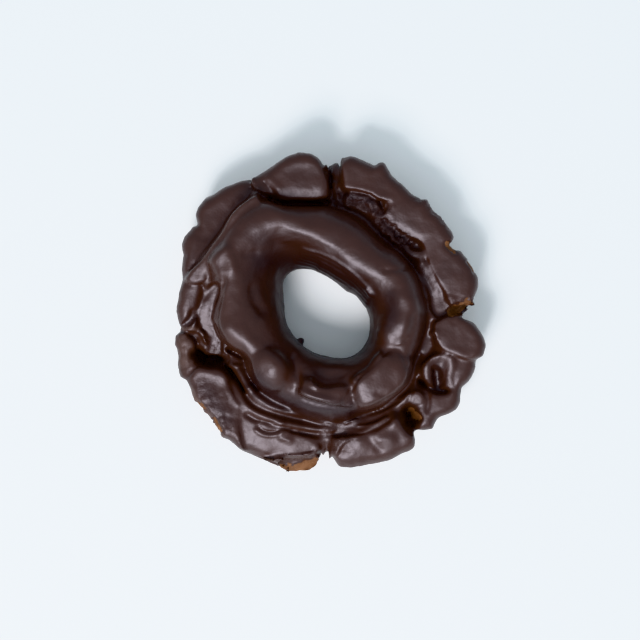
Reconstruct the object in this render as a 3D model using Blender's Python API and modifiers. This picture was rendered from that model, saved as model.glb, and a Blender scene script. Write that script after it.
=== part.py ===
"""Chocolate old-fashioned doughnut, a single cake-doughnut ring with a cracked, petalled rim.

Frame: +Z up, origin at the middle of its outline on the table, angles run anticlockwise
from +X as seen from above.  Tables are in millimetres and degrees; the mesh is in metres.

The dough splits as it fries, so the shape is two rings with a crack between them:
the inner ring round the hole, and an outer skirt that has torn into petals.
"""
import math

import bmesh
import bpy
import numpy as np
from mathutils import Vector, noise

MM = 0.001

# ---- driving dimensions ------------------------------------------------------------------
# Each rail gives one measure all the way round, as (angle, millimetres).
HOLE = (
    (0, 12.1), (20, 11.0), (40, 9.9), (55, 9.5), (70, 10.0), (90, 10.7), (105, 12.3), (120, 16.0),
    (132, 18.0), (145, 16.8), (160, 14.7), (180, 13.1), (205, 12.8), (240, 12.8), (270, 13.7),
    (292, 15.4), (308, 15.8), (322, 15.2), (340, 13.7),
)
CREST_REACH = (
    (0, 23.0), (20, 22.3), (40, 18.5), (55, 17.5), (75, 19.0), (100, 24.0), (120, 29.0), (150, 32.0),
    (175, 27.5), (200, 25.5), (225, 25.5), (250, 23.0), (280, 26.0), (305, 26.5), (325, 22.5), (342, 21.5),
)
CREST_HEIGHT = (
    (0, 30.0), (20, 30.5), (50, 31.0), (90, 30.5), (120, 28.5), (150, 27.5), (180, 28.0), (198, 27.5),
    (212, 26.0), (230, 26.5), (250, 27.5), (290, 27.5), (305, 28.0), (326, 27.0), (342, 27.5),
)
CRACK = (
    (0, 30.9), (20, 30.3), (40, 28.6), (52, 27.9), (62, 29.3), (75, 31.5), (90, 32.8), (105, 33.8),
    (113, 35.5), (120, 40.5), (130, 41.8), (145, 41.0), (156, 41.2), (165, 38.0), (172, 34.8),
    (185, 34.3), (198, 31.5), (206, 29.0), (214, 30.0), (228, 32.5), (245, 33.4), (270, 33.8),
    (295, 33.8), (310, 32.8), (325, 30.5), (340, 29.8),
)
OUTLINE = (
    (0, 41.3), (3, 44.2), (7, 45.6), (12, 47.0), (18, 45.9), (24, 45.0), (29, 43.2), (34, 45.0),
    (40, 45.0), (44, 44.4), (49, 45.6), (54, 44.2), (61, 45.0), (66, 46.8), (70, 48.2), (74, 47.1),
    (82, 48.2), (86, 46.2), (91, 45.0), (97, 48.7), (104, 49.1), (112, 48.0), (119, 47.2), (127, 49.6),
    (134, 51.0), (140, 51.4), (144, 50.5), (147, 48.8), (152, 49.8), (160, 47.4), (168, 46.0),
    (178, 46.4), (186, 46.2), (192, 48.0), (203, 49.3), (208, 48.2), (219, 48.9), (230, 50.0),
    (240, 49.8), (256, 49.8), (262, 48.6), (266, 46.2), (269, 43.0), (272, 45.2), (276, 47.3),
    (285, 48.0), (300, 49.2), (305, 46.6), (311, 48.4), (317, 47.5), (324, 49.2), (330, 48.0),
    (340, 48.2), (346, 49.4), (352, 47.4), (356, 44.6),
)
SKIRT_HEIGHT = (
    (0, 15.0), (28, 17.0), (60, 16.0), (90, 15.0), (122, 19.0), (165, 19.0), (188, 16.0), (200, 10.0),
    (212, 16.0), (240, 18.0), (268, 14.0), (285, 17.0), (308, 12.0), (326, 14.0), (345, 16.0),
)
# The waist is the height at which a ring is widest.
HOLE_WAIST = 8.5
SKIRT_WAIST = 11.0
# The skirt's own rim stops short of the outline by the undercut, as the petals overhang it, and
# in the hole it stands back from the inner ring, so that the ring alone makes the wall.
UNDERCUT = 3.5
HOLE_SETBACK = 1.5
CREST_SETBACK = 3.0
# How square each quarter of a ring's section is: 2 is an ellipse, and more is squarer.
RING_INNER_POWER = 2.1
RING_OUTER_POWER = 2.6
SKIRT_INNER_POWER = 2.6
SKIRT_OUTER_POWER = 2.8
SOLE_POWER = 2.1
SOLE_SINK = 0.5

# Knuckles are the swellings of the inner ring.  Each line: start and end angle, slant of the
# far end in degrees, inner radii and outer radii spread evenly from start to end, underside,
# top at the inner edge, top at the outer edge, squareness in plan, squareness of the top edge.
KNUCKLES = {
    "left": (160, 203, -26, (22.5, 21.5, 21.0, 20.0), (33.0, 34.2, 33.6, 31.0), 14.0, 28.0, 28.0, 4.0, 2.6),
    "lower_left": (204, 244, 0, (18.5, 17.8, 18.5), (31.0, 32.4, 32.4), 12.0, 29.8, 28.4, 2.3, 2.2),
    "bottom": (243, 290, 0, (19.0, 19.5, 20.0), (27.6, 28.2, 28.8), 12.0, 29.4, 29.4, 3.0, 2.4),
    "lower_right": (282, 330, 8, (20.0, 20.0, 18.4), (32.4, 33.0, 32.4, 29.5), 12.0, 30.5, 28.5, 2.8, 2.3),
    "right": (324, 356, 0, (16.5, 16.0, 17.0), (28.0, 29.5, 29.0), 12.0, 30.5, 27.5, 2.4, 2.3),
    "upper_left": (108, 170, 0, (22.0, 25.0, 25.0, 24.0), (34.5, 41.6, 40.8, 41.5, 44.5),
        10.0, 28.0, 19.0, 4.0, 2.8),
}
# Petals are the torn pieces of the skirt, in the same form.
PETALS = {
    "right_slab": (2.5, 31, 0, (35.8, 34.8, 34.8, 36.0), (46.5, 47.6, 45.5), 8.0, 19.9, 20.2, 6.0, 5.0),
    "right_slope": (-3, 42, 0, (31.4, 30.9, 29.6), (38.0, 38.0, 37.0), 8.0, 16.6, 18.9, 5.0, 3.0),
    "upper_right_slab": (29, 64, 0, (36.0, 34.6, 34.4, 34.6), (46.0, 45.6, 47.0),
        8.0, 20.9, 20.6, 5.0, 4.2),
    "upper_slab": (58, 85, 0, (38.2, 38.4, 37.8), (46.5, 49.2, 48.5), 8.0, 21.2, 21.2, 6.0, 4.6),
    "upper_tear": (40, 88, 0, (28.8, 30.5, 33.5), (39.0, 41.0, 41.0), 8.0, 15.9, 18.9, 4.0, 3.0),
    "top_dome": (90, 121, 0, (34.2, 34.8, 37.0, 42.5), (47.0, 50.0, 49.6, 48.0),
        15.0, 21.9, 20.9, 4.6, 3.6),
    "upper_left_flap": (119, 170, 0, (42.6, 41.0, 40.6, 45.0), (48.0, 52.2, 50.2, 46.5),
        7.0, 16.3, 16.9, 5.0, 3.6),
    "left_bulge": (160, 189, 0, (39.5, 39.0, 39.0), (47.0, 47.0, 47.0), 7.0, 19.6, 17.9, 3.0, 2.6),
    "left_fold": (167, 197, 0, (34.8, 35.0, 35.2), (39.0, 40.0, 39.5), 8.0, 18.6, 18.6, 3.0, 2.4),
    "left_knob": (187, 207, 0, (41.0, 41.5, 43.0), (48.4, 49.8, 50.0), 8.0, 16.9, 16.9, 3.6, 3.0),
    "lower_left_slab": (201, 238, 0, (36.2, 36.2, 37.0, 37.8), (50.0, 49.6, 50.6),
        7.0, 18.2, 17.3, 6.0, 3.8),
    "bottom_slab": (232, 267, 0, (37.6, 38.4, 38.8), (50.6, 50.6, 49.0), 7.0, 17.6, 16.3, 5.0, 3.6),
    "bottom_terrace": (206, 300, 0, (32.0, 34.0, 34.2, 34.2), (41.0, 41.0, 41.0),
        4.0, 14.6, 15.9, 5.0, 3.0),
    "bottom_right_slab": (270.5, 306, 0, (37.5, 36.8, 35.4), (48.0, 49.0, 49.8), 8.0, 19.2, 17.9, 5.0, 3.2),
    "small_fold": (304, 322, 0, (33.0, 33.2), (40.5, 40.5), 8.0, 17.9, 16.6, 3.0, 2.6),
    "lower_right_slab": (306, 333, 0, (41.8, 37.5, 35.5), (48.8, 48.6, 49.4), 7.0, 17.6, 16.9, 5.0, 3.6),
    "folded_face": (324, 346, 0, (33.0, 33.2, 33.5), (48.5, 49.2, 48.5), 6.0, 18.2, 18.2, 4.0, 3.0),
    "right_knob": (339, 359, 0, (34.0, 33.0, 33.5), (49.4, 50.4, 46.5), 8.0, 20.9, 20.2, 4.0, 3.2),
}

# Degrees over which a rail's corners are rounded.
SOFT_HOLE = 9
SOFT_CREST = 8
SOFT_CREST_HEIGHT = 10
SOFT_CRACK = 2.5
SOFT_RIM = 6
SOFT_SKIRT_HEIGHT = 5
SOFT_OUTLINE = 1.2
SOFT_FOUND_RIM = 1.5
# The plain torus that is bent into a ring, with a tube 1 mm thick.
TORUS_REACH = 3
TORUS_STEPS = 288
TORUS_SIDES = 56
BLOCK_SUBDIVISIONS = 5
# The dough's skin: its grain, how much it is smoothed, and how far in the rim is pressed.
VOXEL = 0.8
SMOOTH_STEPS = 4
RIM_FROM = 36.0
RIM_PRESS_POWER = 1.5
# The crags are smaller on the inner ring, by this share.
CRAG_SIZE = 6.0
CRAG_HEIGHT = 0.9
CRAG_OCTAVES = 3
RING_CRAG_SHARE = 0.35
# Everything lower than this is part of the flat sole.
SOLE_DEPTH = 0.6
TRIANGLES = 11000
GLAZE_COLOUR = (0.060, 0.030, 0.022, 1.0)
GLAZE_ROUGHNESS = 0.35


def rail(points, soften):
    """Turn (angle, value) pairs into a smooth function of the angle in radians."""
    degrees = np.array([p[0] for p in points], float)
    values = np.array([p[1] for p in points], float)
    grid = np.arange(1440) / 4
    table = np.interp(grid, degrees, values, period=360)
    bell = np.exp(-0.5 * (np.minimum(grid, 360 - grid) / soften) ** 2)
    bell /= bell.sum()
    smooth = np.fft.irfft(np.fft.rfft(table) * np.fft.rfft(bell), 1440)
    return lambda turn: np.interp(np.degrees(turn) % 360, grid, smooth, period=360)


def read_points(mesh):
    flat = np.empty(len(mesh.vertices) * 3)
    mesh.vertices.foreach_get("co", flat)
    return flat.reshape(-1, 3) / MM


def write_points(mesh, points):
    mesh.vertices.foreach_set("co", np.ravel(points) * MM)
    mesh.update()


def polar(points):
    return np.arctan2(points[:, 1], points[:, 0]), np.hypot(points[:, 0], points[:, 1])


def cartesian(turn, reach, height):
    return np.stack([reach * np.cos(turn), reach * np.sin(turn), height], 1)


def tube(name, inner, middle, outer, crown, waist, inner_power, outer_power):
    """A torus whose section follows the rails: widest at the waist, highest over the middle.

    A power of 2 rounds that quarter of the section like an ellipse, and a higher one squares it.
    """
    bpy.ops.mesh.primitive_torus_add(
        major_radius=TORUS_REACH * MM, minor_radius=MM,
        major_segments=TORUS_STEPS, minor_segments=TORUS_SIDES,
    )
    ring = bpy.context.active_object
    ring.name = name
    points = read_points(ring.data)
    turn, reach = polar(points)
    across = reach - TORUS_REACH
    up = points[:, 2]
    power = np.where(across < 0, inner_power, outer_power)
    power = np.where(up < 0, SOLE_POWER, power)
    scale = (np.abs(across) ** power + np.abs(up) ** power) ** (-1 / power)
    across = across * scale
    up = up * scale
    low = middle(turn) + (middle(turn) - inner(turn)) * across
    high = middle(turn) + (outer(turn) - middle(turn)) * across
    top = waist + (crown(turn) - waist) * up
    bottom = waist + (waist + SOLE_SINK) * up
    write_points(ring.data, cartesian(turn, np.where(across < 0, low, high), np.where(up > 0, top, bottom)))
    return ring


def slab(name, start, end, slant, inner, outer, underside, inner_top, outer_top, plan, edge):
    """A rounded block bent round the ring, between two angles and two radii."""
    mesh_maker = bmesh.new()
    bmesh.ops.create_icosphere(mesh_maker, subdivisions=BLOCK_SUBDIVISIONS, radius=MM)
    mesh = bpy.data.meshes.new(name)
    mesh_maker.to_mesh(mesh)
    mesh_maker.free()
    block = bpy.data.objects.new(name, mesh)
    bpy.context.scene.collection.objects.link(block)
    points = np.abs(read_points(mesh))
    spread = (points[:, 0] ** plan + points[:, 1] ** plan) ** (edge / plan) + points[:, 2] ** edge
    along, across, up = (read_points(mesh) / spread[:, None] ** (1 / edge)).T / 2 + 0.5
    turn = np.radians(start + along * ((end - start) % 360) + along * slant * (across - 0.5))
    near = np.interp(along, np.linspace(0, 1, len(inner)), inner)
    far = np.interp(along, np.linspace(0, 1, len(outer)), outer)
    top = inner_top + (outer_top - inner_top) * across
    write_points(mesh, cartesian(turn, near + (far - near) * across, underside + (top - underside) * up))
    return block


def take_shape(body):
    """Make the shape that the modifiers give the object's own mesh."""
    depsgraph = bpy.context.evaluated_depsgraph_get()
    mesh = bpy.data.meshes.new_from_object(body.evaluated_get(depsgraph))
    body.modifiers.clear()
    before = body.data
    body.data = mesh
    bpy.data.meshes.remove(before)


def merge(pieces, name):
    """Join the pieces and skin them with one even closed mesh."""
    body = pieces[0]
    with bpy.context.temp_override(active_object=body, selected_editable_objects=pieces):
        bpy.ops.object.join()
    body.name = name
    skin = body.modifiers.new("skin", "REMESH")
    skin.mode = "VOXEL"
    skin.voxel_size = VOXEL * MM
    soften = body.modifiers.new("soften", "SMOOTH")
    soften.factor = 0.5
    soften.iterations = SMOOTH_STEPS
    take_shape(body)
    return body


def drop_scraps(mesh):
    """Keep the largest connected skin, so no pocket sealed between two pieces is left inside."""
    dough = bmesh.new()
    dough.from_mesh(mesh)
    unseen = set(dough.verts)
    skins = []
    while unseen:
        skin = {unseen.pop()}
        edge_of_skin = list(skin)
        while edge_of_skin:
            vert = edge_of_skin.pop()
            fresh = {link.other_vert(vert) for link in vert.link_edges} - skin
            skin |= fresh
            edge_of_skin.extend(fresh)
        unseen -= skin
        skins.append(skin)
    largest = max(skins, key=len)
    scraps = [vert for vert in dough.verts if vert not in largest]
    bmesh.ops.delete(dough, geom=scraps, context="VERTS")
    dough.to_mesh(mesh)
    dough.free()


def press_rim(mesh):
    """Draw the rim in or out until its outline is the rail's."""
    points = read_points(mesh)
    turn, reach = polar(points)
    degree = np.round(np.degrees(turn)).astype(int) % 360
    widest = np.zeros(360)
    np.maximum.at(widest, degree, reach)
    found = rail(list(enumerate(widest)), SOFT_FOUND_RIM)(turn)
    wanted = rail(OUTLINE, SOFT_OUTLINE)(turn)
    share = np.clip((reach - RIM_FROM) / (found - RIM_FROM), 0, 1) ** RIM_PRESS_POWER
    write_points(mesh, cartesian(turn, reach + (wanted - found) * share, points[:, 2]))


def roughen(mesh):
    """Raise and sink the surface in uneven crags, more on the skirt than on the inner ring."""
    points = read_points(mesh)
    flat = np.empty(len(mesh.vertices) * 3)
    mesh.vertices.foreach_get("normal", flat)
    normals = flat.reshape(-1, 3)
    turn, reach = polar(points)
    crags = np.array([noise.fractal(Vector(p / CRAG_SIZE), 0.8, 2.0, CRAG_OCTAVES) for p in points])
    outside = np.clip((reach - rail(CRACK, SOFT_CRACK)(turn)) / 2 + 0.5, 0, 1)
    height = CRAG_HEIGHT * (RING_CRAG_SHARE + (1 - RING_CRAG_SHARE) * outside)
    write_points(mesh, points + normals * (crags * height)[:, None])


def set_down(mesh):
    """Flatten the sole where the doughnut rests and centre the outline on the origin."""
    points = read_points(mesh)
    points[:, 2] = np.where(points[:, 2] < SOLE_DEPTH, 0, points[:, 2])
    middle = (points.min(0) + points.max(0)) / 2
    points[:, :2] -= middle[:2]
    write_points(mesh, points)


def thin_out(body):
    """Leave larger facets where the surface is plain."""
    thin = body.modifiers.new("thin", "DECIMATE")
    thin.ratio = TRIANGLES / sum(len(face.vertices) - 2 for face in body.data.polygons)
    take_shape(body)


def glaze_material():
    material = bpy.data.materials.new("chocolate_glaze")
    material.use_nodes = True
    shader = material.node_tree.nodes["Principled BSDF"]
    shader.inputs["Base Color"].default_value = GLAZE_COLOUR
    shader.inputs["Roughness"].default_value = GLAZE_ROUGHNESS
    shader.inputs["Metallic"].default_value = 0.0
    return material


def dough_pieces():
    """Make the two rings, then the swellings and petals that lie on them."""
    hole = rail(HOLE, SOFT_HOLE)
    crest = rail(CREST_REACH, SOFT_CREST)
    crack = rail(CRACK, SOFT_CRACK)
    rim = rail(OUTLINE, SOFT_RIM)
    ring_top = rail(CREST_HEIGHT, SOFT_CREST_HEIGHT)
    skirt_top = rail(SKIRT_HEIGHT, SOFT_SKIRT_HEIGHT)
    inner_ring = tube(
        "inner_ring", hole, crest, crack, ring_top, HOLE_WAIST, RING_INNER_POWER, RING_OUTER_POWER
    )
    skirt = tube(
        "skirt",
        lambda turn: hole(turn) + HOLE_SETBACK,
        lambda turn: (crack(turn) + rim(turn)) / 2 - CREST_SETBACK,
        lambda turn: rim(turn) - UNDERCUT,
        skirt_top, SKIRT_WAIST, SKIRT_INNER_POWER, SKIRT_OUTER_POWER,
    )
    slabs = [slab(name, *shape) for name, shape in {**KNUCKLES, **PETALS}.items()]
    return [inner_ring, skirt, *slabs]


def build():
    for old in list(bpy.data.objects):
        bpy.data.objects.remove(old)
    doughnut = merge(dough_pieces(), "doughnut")
    drop_scraps(doughnut.data)
    press_rim(doughnut.data)
    roughen(doughnut.data)
    set_down(doughnut.data)
    thin_out(doughnut)
    set_down(doughnut.data)
    doughnut.data.shade_smooth()
    doughnut.data.materials.clear()
    doughnut.data.materials.append(glaze_material())
    model = bpy.data.collections.new("old_fashioned_doughnut")
    bpy.context.scene.collection.children.link(model)
    for home in list(doughnut.users_collection):
        home.objects.unlink(doughnut)
    model.objects.link(doughnut)
    return doughnut


build()
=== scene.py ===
# %% [markdown]
# # A chocolate old-fashioned doughnut
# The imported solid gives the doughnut's place, size and main form. This lesson makes its looks:
# the dough is modelled again at a much finer grain, the cracks and wrinkles of frying are
# pressed into it, and a thin coat of chocolate glaze is laid over the top.

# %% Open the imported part
import math

import bmesh
import bpy
import numpy as np
from mathutils import Matrix, Vector, noise
from mathutils.bvhtree import BVHTree


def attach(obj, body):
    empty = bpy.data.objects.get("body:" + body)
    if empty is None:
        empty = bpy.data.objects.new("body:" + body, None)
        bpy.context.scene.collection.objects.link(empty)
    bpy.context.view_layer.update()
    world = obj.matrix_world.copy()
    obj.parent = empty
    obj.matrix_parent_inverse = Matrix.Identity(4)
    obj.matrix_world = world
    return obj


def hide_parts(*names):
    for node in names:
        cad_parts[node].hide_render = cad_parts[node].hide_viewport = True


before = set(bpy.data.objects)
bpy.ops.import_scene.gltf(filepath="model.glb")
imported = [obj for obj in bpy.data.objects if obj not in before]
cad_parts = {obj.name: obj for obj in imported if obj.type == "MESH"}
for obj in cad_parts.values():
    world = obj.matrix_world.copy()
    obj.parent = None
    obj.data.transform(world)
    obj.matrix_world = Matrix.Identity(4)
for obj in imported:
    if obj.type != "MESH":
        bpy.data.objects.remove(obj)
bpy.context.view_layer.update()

# %% [markdown]
# ## Measures that run all the way round
# The dough isn't a true circle anywhere, so each measure is a rail: a few angles and sizes, joined
# by a smooth curve that closes on itself. A drawn curve could do this too, but a rail can be
# asked for its value at any vertex. Sizes are in millimetres and angles in degrees, anticlockwise
# from +X as seen from above, around the hub, a point near the middle of the hole.

# %% Rails
def rail(points, soften=2.5):
    """Turn (angle, size) pairs into a smooth function of the angle in radians."""
    degrees, values = np.array(points, float).T
    grid = np.arange(1440) / 4
    table = np.interp(grid, degrees, values, period=360)
    bell = np.exp(-0.5 * (np.minimum(grid, 360 - grid) / soften) ** 2)
    smooth = np.fft.irfft(np.fft.rfft(table) * np.fft.rfft(bell / bell.sum()), 1440)
    return lambda turn: np.interp(np.degrees(turn) % 360, grid, smooth, period=360)


def steady(value):
    return lambda turn: value


# %% [markdown]
# The hole, the crack and the outline are the part's own. The crest's place and height, and how
# full the ring is, were trimmed to where the photograph has its highlights.

# %% The sizes of the rings
HOLE = (
    (0, 12.1), (20, 11), (40, 9.9), (55, 9.5), (70, 10), (90, 10.7), (105, 12.3), (120, 16), (132, 18),
    (145, 16.8), (160, 14.7), (180, 13.1), (205, 12.8), (240, 12.8), (270, 13.7), (292, 15.4), (308, 15.8),
    (322, 15.2), (340, 13.7),
)
CREST_REACH = (
    (0, 23.6), (15, 23), (30, 21.8), (45, 18.6), (60, 17.6), (75, 18.6), (90, 22.4), (105, 25), (120, 33),
    (135, 34.6), (150, 33.4), (165, 30.4), (180, 27), (195, 25.5), (210, 25), (225, 25), (240, 23),
    (255, 23), (270, 25), (285, 26), (305, 26.5), (325, 22.5), (342, 22),
)
CREST_HEIGHT = (
    (0, 28.8), (12, 28.8), (25, 28.7), (50, 28.5), (90, 28.7), (120, 28.4), (150, 27.8), (180, 28),
    (198, 27.5), (212, 26), (230, 26), (250, 25.8), (285, 25.8), (305, 28), (326, 27), (340, 27.4),
    (350, 28.4),
)
CRACK = (
    (0, 30.9), (20, 30.3), (40, 28.6), (52, 27.9), (62, 29.3), (75, 31.5), (90, 32.8), (105, 33.8),
    (113, 35.5), (120, 40.5), (130, 41.8), (145, 41), (156, 41.2), (165, 38), (172, 34.8), (185, 34.3),
    (198, 31.5), (206, 29), (214, 30), (228, 32.5), (245, 33.4), (270, 33.8), (295, 33.8), (310, 32.8),
    (325, 30.5), (340, 29.8),
)
OUTLINE = (
    (0, 41.3), (3, 44.2), (7, 45.6), (12, 47), (18, 45.9), (24, 45), (29, 43.2), (34, 45), (40, 45),
    (44, 44.4), (49, 45.6), (54, 44.2), (61, 45), (66, 46.8), (70, 48.2), (74, 47.1), (82, 48.2),
    (86, 46.2), (91, 45), (97, 48.7), (104, 49.1), (112, 48), (119, 47.2), (127, 49.6), (134, 51),
    (140, 51.4), (144, 50.5), (147, 48.8), (152, 49.8), (160, 47.4), (168, 46), (178, 46.4), (186, 46.2),
    (192, 48), (203, 49.3), (208, 48.2), (219, 48.9), (230, 50), (240, 49.8), (256, 49.8), (262, 48.6),
    (266, 46.2), (269, 43), (272, 45.2), (276, 47.3), (285, 48), (300, 49.2), (305, 46.6), (311, 48.4),
    (317, 47.5), (324, 49.2), (330, 48), (340, 48.2), (346, 49.4), (352, 47.4), (356, 44.6),
)
SKIRT_HEIGHT = (
    (0, 15), (28, 17), (60, 16), (90, 15), (122, 19), (165, 19), (188, 16), (200, 12.5), (212, 16),
    (240, 18), (268, 14), (285, 17), (308, 12), (326, 14), (345, 16),
)
# How full the inner ring is: 1 is a straight slope from the crest, 2 is round, 4 nearly square.
INNER_FULLNESS = (
    (0, 1.9), (20, 2), (45, 2.1), (75, 2.1), (90, 1.8), (120, 1.7), (150, 1.6), (170, 1.9), (190, 2.1),
    (240, 2.1), (262, 2.6), (285, 3.2), (300, 2.4), (330, 2),
)
OUTER_FULLNESS = (
    (0, 2.6), (12, 2.4), (25, 2.6), (40, 3), (60, 3), (85, 3), (105, 2.8), (120, 3.4), (135, 3), (170, 3),
    (190, 4), (205, 3), (225, 2.2), (245, 1.7), (257, 2.1), (275, 2.1), (300, 2.6), (330, 3.2),
)
# The bed is the floor of the crack between ring and skirt.
CRACK_BED = (
    (0, 20.5), (12, 19), (25, 18), (45, 17.5), (70, 17.5), (82, 17.5), (90, 16.5), (97, 12), (104, 8),
    (120, 10), (150, 13), (180, 15), (194, 16.5), (205, 15.5), (216, 15.5), (230, 15.5), (255, 15.5),
    (285, 15.5), (300, 16.5), (318, 17), (330, 16), (345, 15), (353, 17),
)
hole = rail(HOLE, soften=9)
crest = rail(CREST_REACH, soften=8)
crack = rail(CRACK)
rim = rail(OUTLINE, soften=6)
print("hole from", round(hole(np.radians(55)), 1), "to", round(hole(np.radians(132)), 1), "mm from the hub")

# %% [markdown]
# ## Vertices as arrays
# The dough will have about a hundred thousand vertices, which are slow to visit one by one. So
# they are read into one array in millimetres, moved together, and written back.

# %% Read, move and write vertices
MM = 0.001


def read_points(mesh):
    flat = np.empty(len(mesh.vertices) * 3)
    mesh.vertices.foreach_get("co", flat)
    return flat.reshape(-1, 3) / MM


def read_normals(mesh):
    flat = np.empty(len(mesh.vertices) * 3)
    mesh.vertices.foreach_get("normal", flat)
    return flat.reshape(-1, 3)


def write_points(mesh, points):
    mesh.vertices.foreach_set("co", np.ravel(points) * MM)
    mesh.update()


def polar(points):
    return np.arctan2(points[:, 1], points[:, 0]), np.hypot(points[:, 0], points[:, 1])


def cartesian(turn, reach, height):
    return np.stack([reach * np.cos(turn), reach * np.sin(turn), height], 1)


def new_piece(name, shape):
    mesh = bpy.data.meshes.new(name)
    shape.to_mesh(mesh)
    shape.free()
    piece = bpy.data.objects.new(name, mesh)
    bpy.context.scene.collection.objects.link(piece)
    return piece


# %% [markdown]
# ## The two rings of dough
# An old-fashioned doughnut splits as it fries: a ring round the hole rises, and the skirt outside
# it opens. Both start as a circle spun into a plain torus. Each vertex is then moved so that the
# section is widest at the waist and highest under the crest, which leans towards the hole. A third
# and lower ring fills the bed of the crack between them.

# %% Spin a torus and fit it to the rails
TUBE_SIDES, TUBE_STEPS, TUBE_REACH = 64, 320, 3
SOLE_POWER, SOLE_SINK = 2.1, 0.5


def tube(name, inner, middle, outer, crown, waist, inner_power, outer_power):
    shape = bmesh.new()
    section = bmesh.ops.create_circle(shape, segments=TUBE_SIDES, radius=1 * MM)
    bmesh.ops.rotate(shape, verts=section["verts"], matrix=Matrix.Rotation(math.pi / 2, 3, "X"))
    bmesh.ops.translate(shape, verts=section["verts"], vec=(TUBE_REACH * MM, 0, 0))
    bmesh.ops.spin(
        shape, geom=shape.verts[:] + shape.edges[:], axis=(0, 0, 1), cent=(0, 0, 0),
        angle=math.tau, steps=TUBE_STEPS, use_merge=True,
    )
    bmesh.ops.remove_doubles(shape, verts=shape.verts, dist=0.001 * MM)
    bmesh.ops.recalc_face_normals(shape, faces=shape.faces)
    ring = new_piece(name, shape)
    points = read_points(ring.data)
    turn, reach = polar(points)
    across, up = reach - TUBE_REACH, points[:, 2]
    power = np.where(up < 0, SOLE_POWER, np.where(across < 0, inner_power(turn), outer_power(turn)))
    scale = (np.abs(across) ** power + np.abs(up) ** power) ** (-1 / power)
    across, up = across * scale, up * scale
    side = np.where(across < 0, middle(turn) - inner(turn), outer(turn) - middle(turn))
    height = np.where(up > 0, waist + (crown(turn) - waist) * up, waist + (waist + SOLE_SINK) * up)
    write_points(ring.data, cartesian(turn, middle(turn) + side * across, height))
    return ring


# %% Make the ring, the skirt and the bed
# The skirt stops short of the outline by the undercut, as the petals overhang it.
HOLE_WAIST, SKIRT_WAIST, BED_WAIST = 8.5, 11.0, 6.0
HOLE_SETBACK, CREST_SETBACK, UNDERCUT = 1.5, 3.0, 3.5
BED_HALF_WIDTH = 5.0
inner_ring = tube(
    "inner_ring", inner=hole, middle=crest, outer=crack,
    crown=rail(CREST_HEIGHT, soften=10), waist=HOLE_WAIST,
    inner_power=rail(INNER_FULLNESS, soften=6), outer_power=rail(OUTER_FULLNESS, soften=6),
)
skirt = tube(
    "skirt", inner=lambda turn: hole(turn) + HOLE_SETBACK,
    middle=lambda turn: (crack(turn) + rim(turn)) / 2 - CREST_SETBACK,
    outer=lambda turn: rim(turn) - UNDERCUT,
    crown=rail(SKIRT_HEIGHT, soften=5), waist=SKIRT_WAIST,
    inner_power=steady(2.6), outer_power=steady(2.8),
)
bed = tube(
    "bed", inner=lambda turn: crack(turn) - BED_HALF_WIDTH, middle=crack,
    outer=lambda turn: crack(turn) + BED_HALF_WIDTH,
    crown=rail(CRACK_BED, soften=4), waist=BED_WAIST,
    inner_power=steady(4), outer_power=steady(4),
)
print("rings:", sum(len(ring.data.polygons) for ring in (inner_ring, skirt, bed)), "faces")

# %% [markdown]
# ## Knuckles and petals
# Knuckles are the swellings of the inner ring, and petals the torn pieces of the skirt. A petal
# could be cut from the skirt, but it is simpler to lay rounded blocks on it. Each line holds the
# start and end angle, the slant of the far end in degrees, the inner radii and the outer radii
# spread evenly from start to end, the underside, the top at the inner and at the outer edge, and
# the squareness in plan and of the top edge.

# %% The knuckles
KNUCKLES = {
    "left": (160, 208, -26, (25, 22, 21, 20), (33, 33.8, 35, 35), 14, 28, 28, 4, 2.6),
    "lower_left": (204, 244, 0, (18.8, 18.2, 18.8), (30.4, 31.2, 30.2), 12, 29.4, 27.8, 2.3, 2.2),
    "bottom": (243, 290, 0, (18.8, 22, 21), (26.8, 27.6, 28.6), 12, 28.8, 28.8, 3, 3.4),
    "lower_right": (286, 330, 8, (20, 20, 18.4), (32, 32.8, 32.4, 29.5), 12, 30.1, 28.7, 4.5, 4.4),
    "right": (324, 356, 0, (16.5, 16, 17), (28, 29.5, 29), 12, 28.8, 26.8, 2.4, 2.3),
    "upper_left": (108, 170, 0, (30, 31.5, 30.5, 27), (34.5, 41.6, 40.8, 41.5, 44.5), 10, 28, 19, 4, 2.8),
}
print("knuckles:", len(KNUCKLES))

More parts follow.
